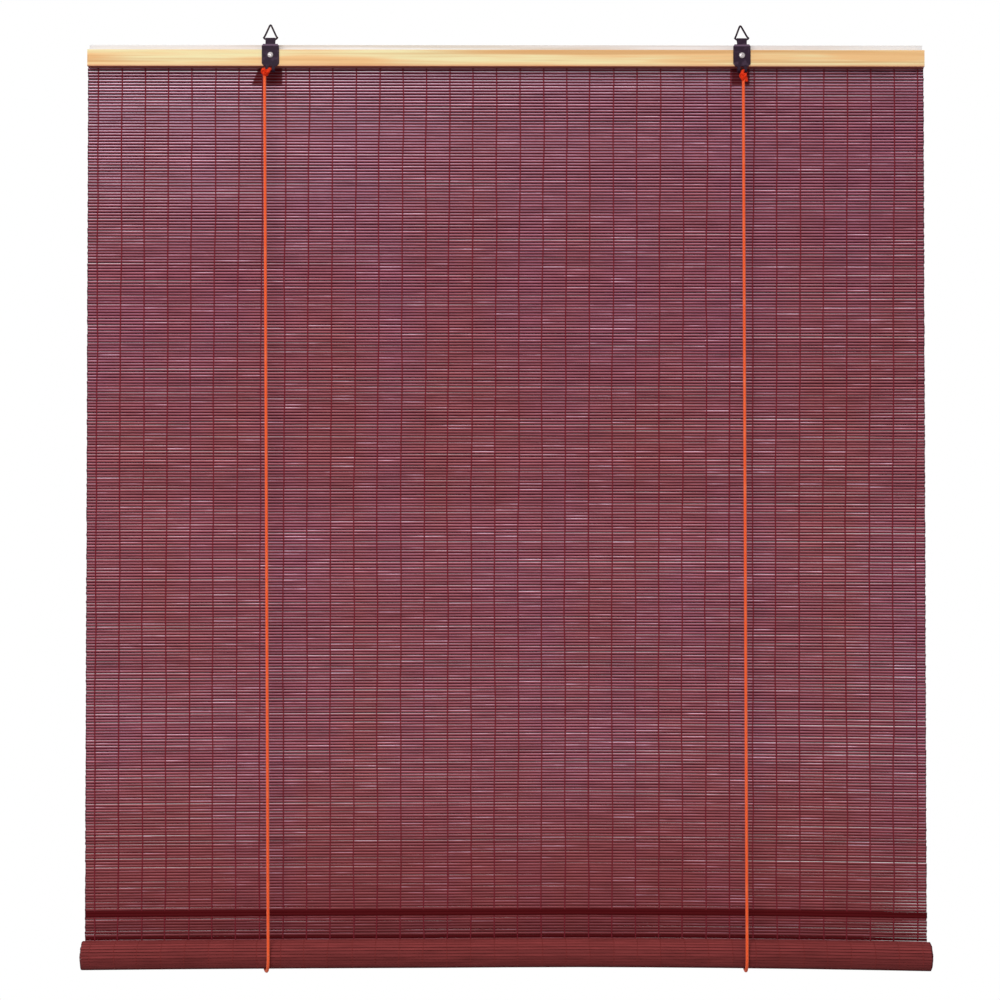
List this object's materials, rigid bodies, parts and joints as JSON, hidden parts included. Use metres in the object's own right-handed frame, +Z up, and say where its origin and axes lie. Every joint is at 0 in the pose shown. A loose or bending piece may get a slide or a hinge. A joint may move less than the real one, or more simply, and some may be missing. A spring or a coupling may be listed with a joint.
{
  "type": "bamboo blind",
  "caption": "Roll-up window blind of dyed split-bamboo slats woven on threads, with a pine head rail, ring hangers and lifting cords.",
  "frame": {"origin": "on the batten's back face, which lies against the wall, midway along it and 12.5 mm above its lower edge", "axes": "+X to the right as seen from the room, +Y into the wall, +Z up"},
  "size_m": [1, 0.0499, 1.1259],
  "materials": {
    "pine": "planed, clear satin",
    "pale_wood": "planed, bare",
    "rod_wood": "turned, bare",
    "bamboo": "dyed wine red, satin",
    "thread": "twisted yarn",
    "black_metal": "black, satin",
    "guide_metal": "dark, satin",
    "ring_wire": "black, satin",
    "zinc": "zinc plated",
    "staple_wire": "bright",
    "cord": "braided polyester"
  },
  "bodies": {
    "head": {"head_rail": "pine", "back_batten": "pale_wood", "rail_staples": "staple_wire", "hanging_mat": "bamboo", "warp_threads": "thread", "left_hanger_plate": "black_metal", "right_hanger_plate": "black_metal", "hanger_screws": "zinc", "left_cord_guide": "guide_metal", "right_cord_guide": "guide_metal", "guide_bars": "zinc", "left_cord_front": "cord", "right_cord_front": "cord", "left_cord_back": "cord", "right_cord_back": "cord"},
    "left_ring": {"left_hanger_ring": "ring_wire"},
    "right_ring": {"right_hanger_ring": "ring_wire"},
    "sling": {"cord_bights": "cord"},
    "roll": {"mat_roll": "bamboo", "roll_rod": "rod_wood"}
  },
  "joints": [
    {"name": "left_ring_swing", "type": "hinge", "parent": "head", "child": "left_ring", "pos_m": [-0.2815, -0.02274, 0.0194], "axis": [1, 0, 0], "range_deg": [-95, 135]},
    {"name": "right_ring_swing", "type": "hinge", "parent": "head", "child": "right_ring", "pos_m": [0.2815, -0.02274, 0.0194], "axis": [1, 0, 0], "range_deg": [-95, 135]},
    {"name": "roll_lift", "type": "slide", "parent": "head", "child": "sling", "axis": [0, 0, 1], "range_m": [0, 0.96695], "deforming": ["hanging_mat", "warp_threads", "left_cord_front", "right_cord_front", "left_cord_back", "right_cord_back"]},
    {"name": "roll_turn", "type": "hinge", "parent": "sling", "child": "roll", "pos_m": [0, -0.028, -1.06694], "axis": [-1, 0, 0], "range_deg": [0, 3240]}
  ],
  "couplings": [
    {"joint": "roll_turn", "follows": "roll_lift", "rad_per_m": 58.48}
  ]
}
